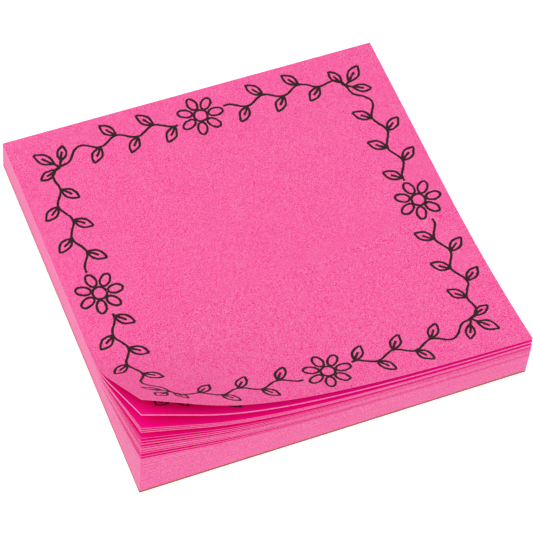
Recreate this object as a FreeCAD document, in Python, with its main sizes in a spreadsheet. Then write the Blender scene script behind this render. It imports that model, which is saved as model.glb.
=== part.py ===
import FreeCAD, Part
import Sketcher
import math
import os

# A sticky note pad: a square stack of thin notes, glued along its back edge, on a card backing.
# The near left corner has been thumbed, so the upper notes curl up there and fan apart.
# The origin is under the middle of the card, +Z is up, and the glued edge is at +Y.
# Lengths are in millimetres and angles in degrees.

doc = FreeCAD.newDocument("sticky_note_pad")

# Driving sizes: the paper and card, the fan of bend lines, and how far each note stands off
sizes = [
    ("sheet_side", 76.0),
    ("leaf_thickness", 0.1),
    ("card_thickness", 0.45),
    ("block_leaves", 37),
    ("eighth_leaves", 2),
    ("seventh_leaves", 2),
    ("sixth_leaves", 9),
    ("fifth_leaves", 4),
    ("third_leaves", 6),
    ("second_leaves", 4),
    ("flat_depth", 37.0),
    ("fan_offset", 9.0),
    ("fan_depth", 28.0),
    ("flap_width", 11.5),
    ("block_curl", 15.3),
    ("eighth_gap", 1.0),
    ("seventh_gap", 1.3),
    ("sixth_gap", 0.6),
    ("sixth_fan", 1.6),
    ("fifth_gap", 1.0),
    ("fifth_fan", 1.2),
    ("fourth_gap", 1.2),
    ("third_gap", 2.8),
    ("third_fan", 1.3),
    ("second_gap", 5.7),
    ("top_gap", 6.3),
    ("block_bow", 4.1),
    ("bow_share", 0.31),
]
sheet = doc.addObject("Spreadsheet::Sheet", "sizes")
for row, (alias, value) in enumerate(sizes, start=1):
    sheet.set("A%d" % row, alias)
    sheet.set("B%d" % row, str(value))
    sheet.setAlias("B%d" % row, alias)
doc.recompute()

# The corners of a flat note
half = sheet.sheet_side / 2
back_left = FreeCAD.Vector(-half, half, 0)
back_right = FreeCAD.Vector(half, half, 0)
front_right = FreeCAD.Vector(half, -half, 0)
front_left = FreeCAD.Vector(-half, -half, 0)

# A bent note stays straight along lines that fan out from one point beside its left edge.
# The first line starts where the flat part ends on the right edge, about half way along it, the
# next runs to the front right corner, and the last cuts off the flat flap at the near corner.
up = FreeCAD.Vector(0, 0, 1)
fan = front_left + FreeCAD.Vector(-sheet.fan_offset, sheet.fan_depth, 0)
bow_start = back_right - FreeCAD.Vector(0, sheet.flat_depth, 0)
flap_start = front_left + FreeCAD.Vector(sheet.flap_width, 0, 0)
first_line = (bow_start - fan).normalize()
bow_width = first_line.getAngle(front_right - fan)
curl_width = (front_right - fan).getAngle(flap_start - fan)


def line_at(turn):
    """The direction of the fan's line at an angle past its first line."""
    return FreeCAD.Rotation(up, -math.degrees(turn)).multVec(first_line)


def turn_to(point):
    """The angle past the fan's first line at which a point of the flat note lies."""
    arm = point - fan
    side = -1 if first_line.cross(arm).z > 0 else 1
    return side * first_line.getAngle(arm)


def on_left_edge(turn):
    """The point where one of the fan's lines crosses the left edge of the flat note."""
    line = line_at(turn)
    return fan + line * (sheet.fan_offset / line.x)


def bow_of(curl):
    """The gentle bend across the whole front of a note, which grows with the curl of its corner."""
    return sheet.block_bow + sheet.bow_share * (curl - sheet.block_curl)


def bends(curl):
    """The bow, the curl and the flap of a note: where each starts in the fan, its first straight
    line, the axis that it turns about, pointing down, and how fast it leaves the plane."""
    result = []
    start = 0
    along = first_line
    normal = up
    for width, angle in ((bow_width, bow_of(curl)), (curl_width, curl), (math.pi, 0)):
        rate = math.radians(angle) / width
        axis = (normal + along * rate) * -1
        result.append((start, along, axis, rate))
        turned = FreeCAD.Rotation(axis, math.degrees(axis.Length * width))
        along = turned.multVec(along)
        normal = turned.multVec(normal)
        start += width
    return result


def bend(point, curl):
    """Where a point of the flat note lies after bending, at the same distance from the fan's point."""
    turn = turn_to(point)
    if turn <= 0 or curl == 0:
        return point
    start, along, axis, rate = [part for part in bends(curl) if part[0] < turn][-1]
    rotation = FreeCAD.Rotation(axis, math.degrees(axis.Length * (turn - start)))
    return fan + rotation.multVec(along) * (point - fan).Length


def stretch(start, end, curl, curved):
    """A stretch of a note's outline after bending, through points on evenly turned lines of the fan."""
    if not curved or curl == 0:
        return Part.makeLine(bend(start, curl), bend(end, curl))
    shares = [i / 10 for i in range(11)]
    first_turn = turn_to(start)
    turn_span = turn_to(end) - first_turn
    side = end - start
    points = []
    for share in shares:
        line = line_at(first_turn + turn_span * share)
        reach = (start - fan).cross(side).z / line.cross(side).z
        points.append(bend(fan + line * reach, curl))
    curve = Part.BSplineCurve()
    curve.interpolate(Points=points, Parameters=shares)
    return curve.toShape()


def note_edges(curl):
    """The edges and bend lines of a note: its flat part, its bow, its curl and its flat flap."""
    bow_left = on_left_edge(0)
    curl_left = on_left_edge(bow_width)
    flap_left = on_left_edge(bow_width + curl_width)
    return {
        "back": stretch(back_left, back_right, curl, False),
        "flat left": stretch(back_left, bow_left, curl, False),
        "flat right": stretch(back_right, bow_start, curl, False),
        "bow line": stretch(bow_left, bow_start, curl, False),
        "bow left": stretch(bow_left, curl_left, curl, True),
        "bow right": stretch(bow_start, front_right, curl, True),
        "curl left": stretch(curl_left, flap_left, curl, True),
        "curl front": stretch(front_right, flap_start, curl, True),
        "curl line": stretch(curl_left, front_right, curl, False),
        "flap line": stretch(flap_left, flap_start, curl, False),
        "flap left": stretch(flap_left, front_left, curl, False),
        "flap front": stretch(flap_start, front_left, curl, False),
    }


# The stretches that make up a note's outline, clockwise from the glued edge
right_rim = ["back", "flat right", "bow right", "curl front", "flap front"]
left_rim = ["flap left", "curl left", "bow left", "flat left"]
rim = right_rim + left_rim


def flat_face(edges, names):
    """A flat piece of a note, bounded by the named edges."""
    loop = Part.sortEdges([edges[name] for name in names])[0]
    return Part.Face(Part.Wire(loop))


def cone_face(edges, names, axis, rate):
    """A bent piece of a note between the named edges: part of a cone with its tip at the fan's point."""
    cone = Part.Cone(fan - axis, fan - axis * 2, axis.Length / rate, axis.Length * 2 / rate)
    loop = Part.sortEdges([edges[name] for name in names])[0]
    face = Part.Face(cone, Part.Wire(loop))
    face.validate()
    return face


def note_face(edges, curl):
    """The whole face of a note, flat or with its two bends between the flat part and the flap."""
    if curl == 0:
        return [flat_face(edges, rim)]
    (_, _, bow_axis, bow_rate), (_, _, curl_axis, curl_rate), _ = bends(curl)
    return [
        flat_face(edges, ["back", "flat right", "bow line", "flat left"]),
        cone_face(edges, ["bow line", "bow right", "curl line", "bow left"], bow_axis, bow_rate),
        cone_face(edges, ["curl line", "curl front", "flap line", "curl left"], curl_axis, curl_rate),
        flat_face(edges, ["flap line", "flap front", "flap left"]),
    ]


def notes_solid(thickness, bottom_curl, top_curl):
    """A stack of notes from height 0 to its thickness, with the curl of its lowest and highest note."""
    under = note_edges(bottom_curl)
    over = note_edges(top_curl)
    faces = note_face(over, top_curl)
    for shape in faces + list(over.values()):
        shape.translate(up * thickness)
    faces += note_face(under, bottom_curl)
    faces += [Part.makeRuledSurface(under[name], over[name]) for name in rim]
    shell = Part.makeShell(faces)
    shell.sewShape()
    solid = Part.makeSolid(shell)
    if solid.Volume < 0:
        solid.reverse()
    return solid


def add_card():
    """The backing card, a plain square board under the whole pad."""
    body = doc.addObject("PartDesign::Body", "backing_card")
    body.Label = "backing_card"
    outline = body.newObject("Sketcher::SketchObject", "card_outline")
    plane = [item for item in body.Origin.OriginFeatures if item.Role == "XY_Plane"][0]
    outline.AttachmentSupport = [(plane, "")]
    outline.MapMode = "FlatFace"
    corners = [front_left, front_right, back_right, back_left]
    for i in range(4):
        outline.addGeometry(Part.LineSegment(corners[i], corners[(i + 1) % 4]))
    for i in range(4):
        outline.addConstraint(Sketcher.Constraint("Coincident", i, 2, (i + 1) % 4, 1))
    for i in range(4):
        outline.addConstraint(Sketcher.Constraint(("Horizontal", "Vertical")[i % 2], i))
    outline.addConstraint(Sketcher.Constraint("Symmetric", 0, 1, 1, 2, -1, 1))
    width = outline.addConstraint(Sketcher.Constraint("DistanceX", 0, 1, 0, 2, sheet.sheet_side))
    depth = outline.addConstraint(Sketcher.Constraint("DistanceY", 1, 1, 1, 2, sheet.sheet_side))
    outline.setExpression("Constraints[%d]" % width, "sizes.sheet_side")
    outline.setExpression("Constraints[%d]" % depth, "sizes.sheet_side")
    pad = body.newObject("PartDesign::Pad", "card_board")
    pad.Profile = outline
    pad.setExpression("Length", "sizes.card_thickness")
    return body


def add_notes(name, leaves, below, bottom_curl, top_curl):
    """A sub-part of one or more notes, lifted onto the card and the leaves that lie below it."""
    feature = doc.addObject("Part::Feature", name)
    feature.Label = name
    feature.Shape = notes_solid(leaves * sheet.leaf_thickness, bottom_curl, top_curl)
    feature.Placement = FreeCAD.Placement()
    feature.setExpression("Placement.Base.z", "sizes.card_thickness + sizes.leaf_thickness * %d" % below)
    return feature


# The loosened notes above the tight block, from the lowest up: how many leaves, the gap in
# curl between them and the notes below, and the fan in curl between their own leaves
loosened = [
    ("eighth_notes", sheet.eighth_leaves, sheet.eighth_gap, 0),
    ("seventh_notes", sheet.seventh_leaves, sheet.seventh_gap, 0),
    ("sixth_notes", sheet.sixth_leaves, sheet.sixth_gap, sheet.sixth_fan),
    ("fifth_notes", sheet.fifth_leaves, sheet.fifth_gap, sheet.fifth_fan),
    ("fourth_note", 1, sheet.fourth_gap, 0),
    ("third_notes", sheet.third_leaves, sheet.third_gap, sheet.third_fan),
    ("second_notes", sheet.second_leaves, sheet.second_gap, 0),
    ("top_note", 1, sheet.top_gap, 0),
]

parts = [add_card(), add_notes("note_block", sheet.block_leaves, 0, 0, sheet.block_curl)]
leaf_count = sheet.block_leaves
curl = sheet.block_curl
for name, leaves, gap, fan_out in loosened:
    curl += gap
    parts.append(add_notes(name, leaves, leaf_count, curl, curl + fan_out))
    curl += fan_out
    leaf_count += leaves
doc.recompute()

for item in doc.Objects:
    if "Invalid" in item.State or "Error" in item.State:
        raise RuntimeError("%s failed: %s" % (item.Label, item.State))
for item in parts:
    if item.Shape.isNull() or not item.Shape.isValid():
        raise RuntimeError("%s has no valid shape" % item.Label)

os.makedirs("parts", exist_ok=True)
for item in parts:
    item.Shape.exportStep("parts/%s.step" % item.Label)
    box = item.Shape.optimalBoundingBox()
    print("%-13s %9.2f mm3, z %6.2f to %6.2f" % (item.Label, item.Shape.Volume, box.ZMin, box.ZMax))
stack = sheet.card_thickness + leaf_count * sheet.leaf_thickness
print("%d leaves, %.2f mm thick at the glued edge" % (leaf_count, stack))
print("top note curled %.1f degrees" % curl)
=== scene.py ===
# %% [markdown]
# # A sticky note pad with a thumbed corner
#
# A pad like this is nothing but paper: a square stack of thin pink notes, stuck together along
# the back edge, on a card backing. What makes it look real is small. The near left corner has been
# thumbed, so the upper notes curl and fan apart, each note shows its pale cut edge, and the paper
# has a fine grain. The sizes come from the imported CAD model, and this script builds the looks
# around it: every note is modelled as its own leaf, a tenth of a millimetre thick.

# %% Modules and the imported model
import bpy
import bmesh
import math
import random
from mathutils import Matrix, Quaternion, Vector


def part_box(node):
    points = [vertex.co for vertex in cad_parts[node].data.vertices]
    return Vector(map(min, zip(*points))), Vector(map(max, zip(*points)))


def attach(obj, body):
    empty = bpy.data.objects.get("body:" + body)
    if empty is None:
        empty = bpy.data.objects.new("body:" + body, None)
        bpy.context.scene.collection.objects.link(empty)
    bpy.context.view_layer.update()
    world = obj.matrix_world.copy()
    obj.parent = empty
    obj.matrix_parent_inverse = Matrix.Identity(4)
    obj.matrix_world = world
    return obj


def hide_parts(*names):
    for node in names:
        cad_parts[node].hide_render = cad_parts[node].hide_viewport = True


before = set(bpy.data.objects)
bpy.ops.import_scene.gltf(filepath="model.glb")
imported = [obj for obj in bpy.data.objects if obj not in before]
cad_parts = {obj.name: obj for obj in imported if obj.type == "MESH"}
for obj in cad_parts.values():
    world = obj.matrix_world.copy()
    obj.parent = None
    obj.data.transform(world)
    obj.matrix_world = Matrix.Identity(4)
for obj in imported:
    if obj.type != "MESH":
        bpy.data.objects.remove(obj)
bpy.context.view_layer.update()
MM = 0.001
UP = Vector((0, 0, 1))

# %% [markdown]
# ## The camera
#
# The pad is seen from the front left and from well above, with a long lens, so that its edges stay
# almost parallel. One could drag a camera about until it looks right. Here the view is written as
# the angles that a photographer would name: how far round, how far up, the tilt of the camera, the
# distance and the lens. The camera turns round its own axis last, which gives the tilt.

# %% Camera
view_round = math.radians(-26.965)
view_up = math.radians(56.053)
view_tilt = math.radians(6.428)
view_target = Vector((1.24, -0.516, 0.12)) * MM
view_distance = 506.232 * MM

camera_data = bpy.data.cameras.new("camera")
camera_data.sensor_width = 36
camera_data.lens = 181.31
camera_data.clip_start = 0.01
camera_data.clip_end = 10
camera = bpy.data.objects.new("camera", camera_data)
bpy.context.scene.collection.objects.link(camera)
bpy.context.scene.camera = camera

level = math.cos(view_up)
back = Vector((math.sin(view_round) * level, -math.cos(view_round) * level, math.sin(view_up)))
camera.location = view_target + back * view_distance
camera.rotation_mode = "QUATERNION"
camera.rotation_quaternion = (-back).to_track_quat("-Z", "Y") @ Quaternion((0, 0, 1), view_tilt)
print("camera at", [round(x, 3) for x in camera.location], "m")

# %% [markdown]
# ## The studio
#
# The pad lies on a white table in soft, even light: a bright sky all round, and one big soft lamp
# from the left that makes the left side the brightest. The white of the table isn't made with more
# light, which would bleach the pink. Instead the floor and the world look at the Light Path: the
# camera and mirror-like rays see plain white, while the light that falls on the pad stays plain.

# %% Light Path mask for what the camera, gloss and glass see
def seen_directly(tree):
    """A mask that is 1 for camera, glossy and transmission rays, and 0 for light on its way."""
    rays = tree.nodes.new("ShaderNodeLightPath")
    either = tree.nodes.new("ShaderNodeMath")
    either.operation = "MAXIMUM"
    tree.links.new(rays.outputs["Is Camera Ray"], either.inputs[0])
    tree.links.new(rays.outputs["Is Glossy Ray"], either.inputs[1])
    any_of = tree.nodes.new("ShaderNodeMath")
    any_of.operation = "MAXIMUM"
    tree.links.new(either.outputs[0], any_of.inputs[0])
    tree.links.new(rays.outputs["Is Transmission Ray"], any_of.inputs[1])
    return any_of.outputs[0]

# %% World and lamp
sky_strength = 0.88
world = bpy.data.worlds.new("studio")
bpy.context.scene.world = world
world.use_nodes = True
sky = world.node_tree.nodes["Background"]
sky.inputs["Color"].default_value = (1, 1, 1, 1)
strength = world.node_tree.nodes.new("ShaderNodeMapRange")
strength.inputs["To Min"].default_value = sky_strength
strength.inputs["To Max"].default_value = 1
world.node_tree.links.new(seen_directly(world.node_tree), strength.inputs["Value"])
world.node_tree.links.new(strength.outputs["Result"], sky.inputs["Strength"])

lamp_size = 0.45
lamp_distance = 0.65
lamp_watts = 0.9
lamp_from = Vector((-0.67, -0.58, 0.46)).normalized()
lamp_data = bpy.data.lights.new("soft_lamp", "AREA")
lamp_data.shape = "SQUARE"
lamp_data.size = lamp_size
lamp_data.energy = lamp_watts
lamp = bpy.data.objects.new("soft_lamp", lamp_data)
bpy.context.scene.collection.objects.link(lamp)
lamp.location = lamp_from * lamp_distance
lamp.rotation_mode = "QUATERNION"
lamp.rotation_quaternion = (-lamp_from).to_track_quat("-Z", "Y")
bpy.context.scene.view_settings.view_transform = "Standard"
print("sky strength %.2f, lamp %.1f W" % (sky_strength, lamp_watts))

# %% Floor
floor_half = 2.5
floor_glow = 0.55
floor_bm = bmesh.new()
bmesh.ops.create_grid(floor_bm, x_segments=1, y_segments=1, size=floor_half)
floor_mesh = bpy.data.meshes.new("floor")
floor_bm.to_mesh(floor_mesh)
floor_bm.free()
floor = bpy.data.objects.new("floor", floor_mesh)
bpy.context.scene.collection.objects.link(floor)

floor_white = bpy.data.materials.new("floor_white")
floor_white.use_nodes = True
floor_tree = floor_white.node_tree
floor_shader = floor_tree.nodes["Principled BSDF"]
floor_shader.inputs["Base Color"].default_value = (0.8, 0.8, 0.8, 1)
floor_shader.inputs["Roughness"].default_value = 0.9
floor_shader.inputs["Specular IOR Level"].default_value = 0
floor_lift = floor_tree.nodes.new("ShaderNodeMapRange")
floor_lift.inputs["To Min"].default_value = 0
floor_lift.inputs["To Max"].default_value = floor_glow
floor_shader.inputs["Emission Color"].default_value = (1, 1, 1, 1)
floor_tree.links.new(seen_directly(floor_tree), floor_lift.inputs["Value"])
floor_tree.links.new(floor_lift.outputs["Result"], floor_shader.inputs["Emission Strength"])
floor_mesh.materials.append(floor_white)
print("floor: %.0f m square" % (2 * floor_half))

# %% [markdown]
# ## The paper
#
# Coloured note paper isn't one flat pink. Fibres take up the dye unevenly, so it is mottled in
# darker and lighter specks of a tenth or two of a millimetre, on faint clouds of a few
# millimetres, and its surface is dull and faintly rough. The notes under the top one are a deeper
# pink, painted shade for the gaps between the notes, where alone their faces show. The cut edges
# show broken fibres and look paler, and the sides paler still, painted light and sheen from the
# lamp on the left. A photograph could be laid on for this, but a noise pattern in the object's own
# coordinates has no seams and no fixed resolution. The grain is one node group, placed in each
# material with its own colours, size and strength.
#
# Thin paper also lets light through, so the gaps between the notes shine pink where the gaps of a
# stack of boards would be dark. Tracing light through every leaf is slow and noisy. A faint glow
# of the inner notes gives the same look.

# %% Helpers for colours and nodes
def colour(red, green, blue):
    """A screen colour, 0 to 255 in each channel, as the linear colour that Blender works with."""
    values = [channel / 255 for channel in (red, green, blue)]
    linear = [v / 12.92 if v <= 0.04045 else ((v + 0.055) / 1.055) ** 2.4 for v in values]
    return (*linear, 1)


def add_node(tree, kind, **settings):
    """Adds a node. Its settings are attributes such as operation."""
    node = tree.nodes.new("ShaderNode" + kind)
    for name, value in settings.items():
        setattr(node, name, value)
    return node

# %% The grain of paper and board, as a node group
cloud_scale_share = 0.03
cloud_depth = 0.13
lump_scale_share = 0.55
lump_depth = 0.4


def build_paper_grain():
    """Fine specks on broad faint clouds, with a few fibre lumps that took up more dye, and the height
    of the specks."""
    tree = bpy.data.node_groups.new("paper_grain", "ShaderNodeTree")
    sockets = [("Vector", "NodeSocketVector"), ("Dark", "NodeSocketColor"), ("Light", "NodeSocketColor"),
               ("Specks per metre", "NodeSocketFloat"), ("Contrast", "NodeSocketFloat")]
    for name, kind in sockets:
        tree.interface.new_socket(name, in_out="INPUT", socket_type=kind)
    tree.interface.new_socket("Color", in_out="OUTPUT", socket_type="NodeSocketColor")
    tree.interface.new_socket("Height", in_out="OUTPUT", socket_type="NodeSocketFloat")
    inside = tree.nodes.new("NodeGroupInput")
    outside = tree.nodes.new("NodeGroupOutput")

    specks = add_node(tree, "TexNoise")
    specks.inputs["Detail"].default_value = 2
    specks.inputs["Roughness"].default_value = 0.6
    tree.links.new(inside.outputs["Vector"], specks.inputs["Vector"])
    tree.links.new(inside.outputs["Specks per metre"], specks.inputs["Scale"])
    centred = add_node(tree, "Math", operation="SUBTRACT")
    centred.inputs[1].default_value = 0.5
    tree.links.new(specks.outputs["Fac"], centred.inputs[0])

    clouds = add_node(tree, "TexNoise")
    clouds.inputs["Detail"].default_value = 3
    cloud_scale = add_node(tree, "Math", operation="MULTIPLY")
    cloud_scale.inputs[1].default_value = cloud_scale_share
    tree.links.new(inside.outputs["Specks per metre"], cloud_scale.inputs[0])
    tree.links.new(inside.outputs["Vector"], clouds.inputs["Vector"])
    tree.links.new(cloud_scale.outputs[0], clouds.inputs["Scale"])
    cloudy = add_node(tree, "MapRange")
    cloudy.inputs["To Min"].default_value = 0.5 - cloud_depth
    cloudy.inputs["To Max"].default_value = 0.5 + cloud_depth
    tree.links.new(clouds.outputs["Fac"], cloudy.inputs["Value"])
    mottle = add_node(tree, "Math", operation="MULTIPLY_ADD")
    tree.links.new(centred.outputs[0], mottle.inputs[0])
    tree.links.new(inside.outputs["Contrast"], mottle.inputs[1])
    tree.links.new(cloudy.outputs["Result"], mottle.inputs[2])

    lumps = add_node(tree, "TexNoise")
    lumps.inputs["Detail"].default_value = 0
    lump_scale = add_node(tree, "Math", operation="MULTIPLY")
    lump_scale.inputs[1].default_value = lump_scale_share
    tree.links.new(inside.outputs["Specks per metre"], lump_scale.inputs[0])
    tree.links.new(inside.outputs["Vector"], lumps.inputs["Vector"])
    tree.links.new(lump_scale.outputs[0], lumps.inputs["Scale"])
    dyed = add_node(tree, "MapRange")
    dyed.inputs["From Min"].default_value = 0.66
    dyed.inputs["From Max"].default_value = 0.86
    dyed.inputs["To Max"].default_value = lump_depth
    tree.links.new(lumps.outputs["Fac"], dyed.inputs["Value"])
    shade = add_node(tree, "Math", operation="SUBTRACT", use_clamp=True)
    tree.links.new(mottle.outputs[0], shade.inputs[0])
    tree.links.new(dyed.outputs["Result"], shade.inputs[1])

    mix = add_node(tree, "Mix", data_type="RGBA")
    tree.links.new(shade.outputs[0], mix.inputs["Factor"])
    tree.links.new(inside.outputs["Dark"], mix.inputs["A"])
    tree.links.new(inside.outputs["Light"], mix.inputs["B"])
    tree.links.new(mix.outputs["Result"], outside.inputs["Color"])
    tree.links.new(specks.outputs["Fac"], outside.inputs["Height"])
    return tree


paper_grain = build_paper_grain()
print("paper grain: %d nodes" % len(paper_grain.nodes))

# %% A dull material with that grain
def grained(name, dark, light, specks=5000, contrast=2, depth=0.01 * MM, gloss=0.5, fuzz=0.1):
    """A matt material of two mottled shades, with so many specks to the metre and its grain as a bump of
    that depth. Gloss and fuzz are how much white light the smooth surface and its loose fibres throw
    back."""
    material = bpy.data.materials.new(name)
    material.use_nodes = True
    tree = material.node_tree
    shader = tree.nodes["Principled BSDF"]
    shader.inputs["Roughness"].default_value = 0.7
    shader.inputs["Specular IOR Level"].default_value = gloss
    shader.inputs["Sheen Weight"].default_value = fuzz
    place = add_node(tree, "TexCoord")
    grain = tree.nodes.new("ShaderNodeGroup")
    grain.node_tree = paper_grain
    grain.inputs["Dark"].default_value = dark
    grain.inputs["Light"].default_value = light
    grain.inputs["Specks per metre"].default_value = specks
    grain.inputs["Contrast"].default_value = contrast
    tree.links.new(place.outputs["Object"], grain.inputs["Vector"])
    tree.links.new(grain.outputs["Color"], shader.inputs["Base Color"])
    bump = add_node(tree, "Bump")
    bump.inputs["Strength"].default_value = 0.5
    bump.inputs["Distance"].default_value = depth
    tree.links.new(grain.outputs["Height"], bump.inputs["Height"])
    tree.links.new(bump.outputs["Normal"], shader.inputs["Normal"])
    return material


top_paper = grained("top_paper", colour(250, 0, 137), colour(255, 141, 191),
                    specks=6500, contrast=6, gloss=0.15, fuzz=0.02)
# The notes under the top one are a deeper pink: painted shade, as their faces show only in the gaps
# between the notes.
note_paper = grained("note_paper", colour(253, 0, 162), colour(255, 20, 178), gloss=0.1, fuzz=0)
cut_edge = grained("cut_edge", colour(246, 70, 154), colour(255, 152, 197), contrast=3)
# The sides are paler than the front and back edges: painted light and sheen from the lamp on the left.
cut_side_painted_light = grained("cut_side_painted_light", colour(243, 115, 170), colour(249, 147, 189), contrast=2.5)
# A paler rim along the edge of each inner leaf: a painted highlight.
painted_rim_highlight = grained("painted_rim_highlight", colour(252, 130, 184), colour(255, 168, 206))
kraft_card = grained("kraft_card", colour(158, 82, 4), colour(192, 108, 16),
                     specks=1500, depth=0.03 * MM, gloss=0.1, fuzz=0)
ink = grained("ink", colour(42, 22, 24), colour(60, 36, 38), specks=4000, gloss=0.15, fuzz=0)

light_through_paper = 0.04
note_shader = note_paper.node_tree.nodes["Principled BSDF"]
note_shader.inputs["Emission Color"].default_value = colour(255, 0, 120)
note_shader.inputs["Emission Strength"].default_value = light_through_paper

# The fourth slot is the rim round each leaf's faces, a painted highlight along the edge: the cut edge's
# colour on the top note and a paler one below.
top_materials = [top_paper, cut_edge, cut_side_painted_light, cut_edge]
note_materials = [note_paper, cut_edge, cut_side_painted_light, painted_rim_highlight]
print("materials:", [m.name for m in (top_paper, *note_materials, kraft_card, ink)])

# %% [markdown]
# ## How a note bends
#
# Paper doesn't stretch, so a curled note stays straight along one set of lines. Here the lines fan
# out from a point beside the left edge. From the first line on, the note bends gently; past the
# line to the right corner it curls more tightly; past the last line it is a flat flap. In each
# zone the paper lies on a cone whose tip is the fan's point. A Simple Bend modifier only knows
# parallel lines, so the bend is a short function: it takes a point of the flat note, turns the
# fan's line about the cone's axis, and goes as far along it as the point was from the tip. The
# places of the lines and the angles are those of the CAD model, so the leaves fill its solids.

# %% The sheet and its fan of bend lines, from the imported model's box
block_low, block_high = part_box("note_block")
half = (block_high.x - block_low.x) / 2
leaf_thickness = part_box("third_notes")[0].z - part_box("fourth_note")[0].z
front_right = Vector((half, -half, 0))
front_left = Vector((-half, -half, 0))

flat_depth = 37 * MM
flap_width = 11.5 * MM
fan = front_left + Vector((-9, 28, 0)) * MM
bow_start = Vector((half, half - flat_depth, 0))
flap_start = front_left + Vector((flap_width, 0, 0))
first_line = (bow_start - fan).normalized()
bow_width = first_line.angle(front_right - fan)
curl_width = (front_right - fan).angle(flap_start - fan)
print("sheet %.1f mm, leaf %.2f mm" % (2 * half / MM, leaf_thickness / MM))

# %% The bend
block_curl = 15.3
top_curl = 39.3
block_bow = 4.1
bow_share = 0.31


def bow_of(curl):
    """The gentle bend of a loosened note, in degrees, which grows with the curl of its corner."""
    return block_bow + bow_share * (curl - block_curl)


def bent(point, curl, bow):
    """Where a point of the flat note lies once the note is bowed and curled by those angles."""
    flat = Vector((point.x, point.y, 0))
    arm = flat - fan
    turn = first_line.xy.angle_signed(arm.xy)
    if turn <= 0:
        return flat
    along = first_line
    normal = UP
    for width, angle in ((bow_width, bow), (curl_width, curl), (math.pi, 0)):
        rate = math.radians(angle) / width
        axis = -(normal + along * rate)
        turned = Quaternion(axis, axis.length * min(turn, width))
        along = turned @ along
        normal = turned @ normal
        turn -= width
        if turn <= 0:
            break
    return fan + along * arm.length


for curl in (block_curl, top_curl):
    tip = bent(front_left, curl, bow_of(curl))
    print("curled %.1f degrees, the corner lifts %.2f mm" % (curl, tip.z / MM))

# %% [markdown]
# ## One note
#
# A note starts as a flat square, cut along the fan's lines so that it can bend there, and is
# extruded to the thickness of paper. A narrow rim round its face takes a paler colour, like that of
# the cut edge: a painted highlight along the edge of each leaf. The finished flat note is kept,
# and each leaf of the pad is a bent copy of it, shaded smooth with sharp edges and slid by a
# hundredth of a millimetre at most, as no stack is quite even.

# %% A flat note, ready to bend
slip = 0.01 * MM
# The width of the rim of painted highlight along each leaf's edge.
highlight_rim_width = 0.12 * MM
sharp_angle = math.radians(57)


def cut_on_fan(bm, bow_strips, curl_strips):
    """Cuts a flat mesh along the fan's lines, finely where it curls."""
    turns = [bow_width * i / bow_strips for i in range(bow_strips)]
    turns += [bow_width + curl_width * i / curl_strips for i in range(curl_strips + 1)]
    for turn in turns:
        line = Quaternion(-UP, turn) @ first_line
        everything = bm.verts[:] + bm.edges[:] + bm.faces[:]
        bmesh.ops.bisect_plane(bm, geom=everything, dist=1e-7, plane_co=fan, plane_no=line.cross(UP))


def flat_note(side_half, bow_strips, curl_strips):
    """A flat note as a mesh. Its faces have the first material, its front and back edges the second,
    its sides the third, and the rim of its faces, a painted highlight along the edge, the fourth."""
    bm = bmesh.new()
    bmesh.ops.create_grid(bm, x_segments=1, y_segments=1, size=side_half)
    # A narrow rim round the face, for a painted highlight along the leaf's edge.
    highlight_rim = bmesh.ops.inset_region(bm, faces=bm.faces[:], thickness=highlight_rim_width, use_even_offset=True)
    for face in highlight_rim["faces"]:
        face.material_index = 3
    cut_on_fan(bm, bow_strips, curl_strips)
    skin = bm.faces[:]
    raised = bmesh.ops.extrude_face_region(bm, geom=skin, use_keep_orig=True)["geom"]
    for vert in raised:
        if isinstance(vert, bmesh.types.BMVert):
            vert.co.z += leaf_thickness
    bmesh.ops.recalc_face_normals(bm, faces=bm.faces[:])
    for face in bm.faces:
        face.smooth = True
        if abs(face.normal.y) > 0.5:
            face.material_index = 1
        # The sides take the paler material, painted light from the lamp on the left.
        if abs(face.normal.x) > 0.5:
            face.material_index = 2
    for edge in bm.edges:
        edge.smooth = edge.calc_face_angle(math.pi) < sharp_angle
    mesh = bpy.data.meshes.new("flat_note")
    bm.to_mesh(mesh)
    open_edges = sum(not edge.is_manifold for edge in bm.edges)
    bm.free()
    print("flat note: %d faces, %d open edges" % (len(mesh.polygons), open_edges))
    return mesh


block_note = flat_note(half - slip, 6, 12)
loose_note = flat_note(half - slip, 16, 30)

# %% Bent leaves, gathered into a piece
rng = random.Random(76)


def add_leaves(bm, note, base, bends, swell):
    """Adds bent copies of the flat note to a mesh, one on the other, the lowest with its underside at
    height base where it is glued. bends lists the curl and the bow of each. A leaf's upper face rises
    by the share swell of the way to the leaf above it."""
    for i, bend in enumerate(bends):
        above = bends[min(i + 1, len(bends) - 1)]
        swollen = [own + (upper - own) * swell for own, upper in zip(bend, above)]
        slide = Vector((rng.uniform(-slip, slip), rng.uniform(-slip, slip), 0))
        count = len(bm.verts)
        bm.from_mesh(note)
        bm.verts.ensure_lookup_table()
        for vert in bm.verts[count:]:
            height = vert.co.z
            curl, bow = swollen if height > 0 else bend
            vert.co = bent(vert.co, curl, bow) + slide + UP * (base + i * leaf_thickness + height)


def finish_piece(name, bm, materials):
    """Turns a bmesh into a piece of the pad, which rides on the one body."""
    mesh = bpy.data.meshes.new(name)
    bm.to_mesh(mesh)
    bm.free()
    for material in materials:
        mesh.materials.append(material)
    piece = bpy.data.objects.new(name, mesh)
    bpy.context.scene.collection.objects.link(piece)
    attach(piece, "root")
    return piece

# %% [markdown]
# ## The tight block
#
# More than half of the notes still lie close together as a block. They rise a little at the
# thumbed corner, the lowest hardly at all and the highest by about fifteen degrees, and that
# opens hairline gaps between them that show as fine stripes. The gaps grow towards the top, and
# they aren't all alike, so each leaf is bent a little more or less than its share. It is also
# swollen to fill most of the gap above it, as soft paper does. One solid with a striped material
# would look the same from far away. Real leaves cost few faces each, and their gaps take light
# and shade by themselves.

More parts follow.
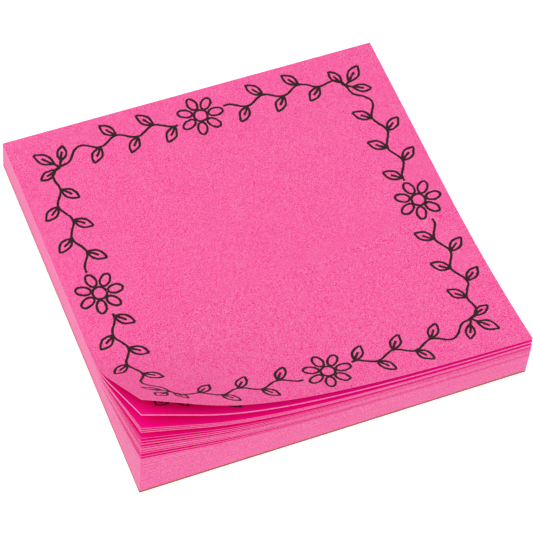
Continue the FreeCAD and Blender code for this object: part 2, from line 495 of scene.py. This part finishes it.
# %% Block
block_leaves = 37
block_swell = 0.67
uneven = 0.35
loosening = 1.4
places = [i + rng.uniform(-uneven, uneven) for i in range(1, block_leaves)] + [block_leaves]
shares = [(place / block_leaves) ** loosening for place in places]
block_bends = [(block_curl * share, block_bow * share) for share in shares]
block_bm = bmesh.new()
add_leaves(block_bm, block_note, block_low.z, block_bends, block_swell)
print("block: %d leaves, %d faces" % (block_leaves, len(block_bm.faces)))
block = finish_piece("block_leaves", block_bm, note_materials)
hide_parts("note_block")

# %% [markdown]
# ## The loosened notes
#
# Above the block the notes have come apart in groups, as paper does when a thumb runs over it:
# two thin pairs, then nine that cling together, four more, and so on up to the top note, which
# curls most. Each group is one node of the CAD model and becomes one piece here, with its own
# leaves between the lowest and the highest curl of the group. Random gaps would look as lively,
# but here the curl of each leaf is listed, since these few gaps catch the eye.

# %% Loosened notes, from the bottom, with the curl of each leaf in degrees
loose_swell = 0.1
loosened = [
    ("eighth", "eighth_notes", [16.3, 16.3]),
    ("seventh", "seventh_notes", [17.6, 17.6]),
    ("sixth", "sixth_notes", [18.2, 18.3, 18.4, 18.8, 18.9, 19.0, 19.1, 19.7, 19.8]),
    ("fifth", "fifth_notes", [20.8, 20.9, 21.9, 22.0]),
    ("fourth", "fourth_note", [23.2]),
    ("third", "third_notes", [26.0, 26.05, 26.6, 26.65, 27.25, 27.3]),
    ("second", "second_notes", [33.0, 33.0, 33.0, 33.0]),
    ("top", "top_note", [top_curl]),
]
for name, node, curls in loosened:
    bm = bmesh.new()
    add_leaves(bm, loose_note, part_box(node)[0].z, [(curl, bow_of(curl)) for curl in curls], loose_swell)
    print("%s: %d leaves, %d faces" % (node, len(curls), len(bm.faces)))
    piece = finish_piece(name + "_leaves", bm, top_materials if name == "top" else note_materials)
    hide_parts(node)

# %% [markdown]
# ## The backing card
#
# Under the notes lies a thin brown card, which shows as a fine brown line along the foot of the
# pad. Its CAD shape is already right, a plain square board, so it only gets the kraft material.

# %% Card
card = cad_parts["backing_card"]
card.data.materials.clear()
card.data.materials.append(kraft_card)

# %% [markdown]
# ## The printed frame
#
# Each note is printed in one dark ink with a hand-drawn frame: a waving stem with small pointed
# leaves, a daisy in the middle of each side and a sprig in each corner. Ink could be a mask in the
# paper's material, but lines this fine are crisper as thin ribbons. They are drawn flat as curves
# with a round pen, made into meshes, pressed nearly flat and bent with the same function as the
# paper, a hundredth of a millimetre above it.

# %% The path of the frame, round the note
frame_half = half - 6 * MM
corner_radius = 9 * MM
straight = 2 * (frame_half - corner_radius)
quarter = math.pi / 2 * corner_radius
side_length = straight + quarter


def frame_place(distance):
    """A point of the rounded frame at a distance along it from the middle of the front, anticlockwise,
    with the direction of travel there."""
    side = int(distance // side_length)
    along = distance - side * side_length
    turned = Quaternion(UP, math.pi / 2 * side)
    if along < straight / 2:
        point = Vector((along, -frame_half, 0))
        ahead = Vector((1, 0, 0))
    elif along < straight / 2 + quarter:
        angle = (along - straight / 2) / corner_radius
        centre = Vector((straight / 2, -straight / 2, 0))
        point = centre + Vector((math.sin(angle), -math.cos(angle), 0)) * corner_radius
        ahead = Vector((math.cos(angle), math.sin(angle), 0))
    else:
        rest = along - straight / 2 - quarter
        point = Vector((frame_half, -straight / 2 + rest, 0))
        ahead = Vector((0, 1, 0))
    return turned @ point, turned @ ahead


print("frame line: %.0f mm round" % (4 * side_length / MM))

# %% Pen strokes
pen = random.Random(12)
hand_shake = 0.03 * MM
stroke_step = 0.5 * MM
leaf_bulge = 0.24
rib_share = 0.6
heart_share = 0.3
petal_width = 0.62
strokes = []


def stroke(points):
    """Keeps a pen line, with a slight unsteadiness of the hand."""
    shaky = [p + Vector((pen.gauss(0, 1), pen.gauss(0, 1), 0)) * hand_shake for p in points]
    strokes.append([(p, pen.uniform(0.85, 1.15)) for p in shaky])


def arc(start, end, bulge):
    """Points of a shallow arc from start to end that bulges to the left by that share of its length."""
    chord = end - start
    aside = UP.cross(chord) * bulge
    count = max(3, round(chord.length / stroke_step))
    return [start + chord * (i / count) + aside * math.sin(math.pi * i / count) for i in range(count + 1)]


def leaf_drawing(foot, direction, length):
    """A small pointed leaf: two curved sides and a short rib."""
    tip = foot + direction * length
    stroke(arc(foot, tip, leaf_bulge))
    stroke(arc(foot, tip, -leaf_bulge))
    stroke(arc(foot, foot + direction * length * rib_share, 0.03))


def daisy_drawing(centre, petals, radius):
    """A round heart with petals, each one loop of the pen."""
    heart = radius * heart_share
    ring = [Quaternion(UP, 2 * math.pi * i / 14) @ Vector((heart, 0, 0)) + centre for i in range(15)]
    stroke(ring)
    for i in range(petals):
        out = Quaternion(UP, 2 * math.pi * i / petals) @ Vector((1, 0, 0))
        foot = centre + out * heart * 1.2
        middle = (foot + centre + out * radius) / 2
        long = (centre + out * radius - middle).length
        wide = long * petal_width
        loop = []
        for step in range(17):
            angle = math.pi + 2 * math.pi * step / 16
            loop.append(middle + out * math.cos(angle) * long + UP.cross(out) * math.sin(angle) * wide)
        stroke(loop)

# %% The drawing
waves_per_side = 8
wave = side_length / waves_per_side
wave_height = 0.8 * MM
daisy_radius = 4.5 * MM
daisy_petals = 7
daisy_room = 1.1 * daisy_radius
leaf_length = 4 * MM
leaf_lean = 0.75
stalk = 1.3 * MM
sprig = ((-1.2, 0.9), (0, 1.1), (1.2, 0.9))     # each leaf's turn in radians and its share of the length
sprig_room = range(waves_per_side - 2, waves_per_side + 1)


def stem(distance):
    """A point of the waving stem and the direction of its outer side."""
    point, ahead = frame_place(distance % (4 * side_length))
    outward = ahead.cross(UP)
    return point + outward * wave_height * math.sin(2 * math.pi * distance / wave), ahead, outward


for side in range(4):
    begin = side * side_length + daisy_room
    length = side_length - 2 * daisy_room
    count = round(length / stroke_step)
    stroke([stem(begin + length * i / count)[0] for i in range(count + 1)])
    daisy_drawing(frame_place(side * side_length)[0], daisy_petals, daisy_radius)
    for i in range(1, 2 * waves_per_side - 2):
        distance = side * side_length + (i + 0.5) * wave / 2
        foot, ahead, outward = stem(distance)
        aside = outward if i % 2 == 0 else -outward
        if i not in sprig_room:
            leaf_drawing(foot, (ahead * leaf_lean + aside).normalized(), leaf_length)
    corner, ahead = frame_place((side + 0.5) * side_length)
    for spread, size in sprig:
        out = Quaternion(UP, spread) @ ahead.cross(UP)
        foot = corner + out * stalk
        stroke(arc(corner, foot, 0.1))
        leaf_drawing(foot, out, leaf_length * size)
print("drawing: %d strokes" % len(strokes))

# %% Ink laid on a note
ink_width = 0.48 * MM
ink_lift = 0.008 * MM
ink_flatness = 0.06


def flat_ink():
    """The drawing as one flat mesh of thin ribbons."""
    line = bpy.data.curves.new("ink_line", "CURVE")
    line.dimensions = "3D"
    line.bevel_depth = ink_width / 2
    line.bevel_resolution = 1
    line.use_fill_caps = True
    for points in strokes:
        spline = line.splines.new("POLY")
        spline.points.add(len(points) - 1)
        for knot, (point, width) in zip(spline.points, points):
            knot.co = (*point, 1)
            knot.radius = width
    holder = bpy.data.objects.new("ink_line", line)
    bpy.context.scene.collection.objects.link(holder)
    mesh = bpy.data.meshes.new_from_object(holder)
    bpy.data.objects.remove(holder)
    mesh.transform(Matrix.Diagonal((1, 1, ink_flatness, 1)))
    return mesh


drawing = flat_ink()


def print_note(name, node, leaves, curl):
    """Lays the drawing on the highest leaf of a group."""
    bm = bmesh.new()
    bm.from_mesh(drawing)
    face_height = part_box(node)[0].z + leaves * leaf_thickness + ink_lift
    for vert in bm.verts:
        height = vert.co.z
        vert.co = bent(vert.co, curl, bow_of(curl)) + UP * (face_height + height)
    print("%s: %d faces" % (name, len(bm.faces)))
    return finish_piece(name, bm, [ink])


for name, node, curls in loosened[-3:]:
    print_note(name + "_print", node, len(curls), curls[-1])
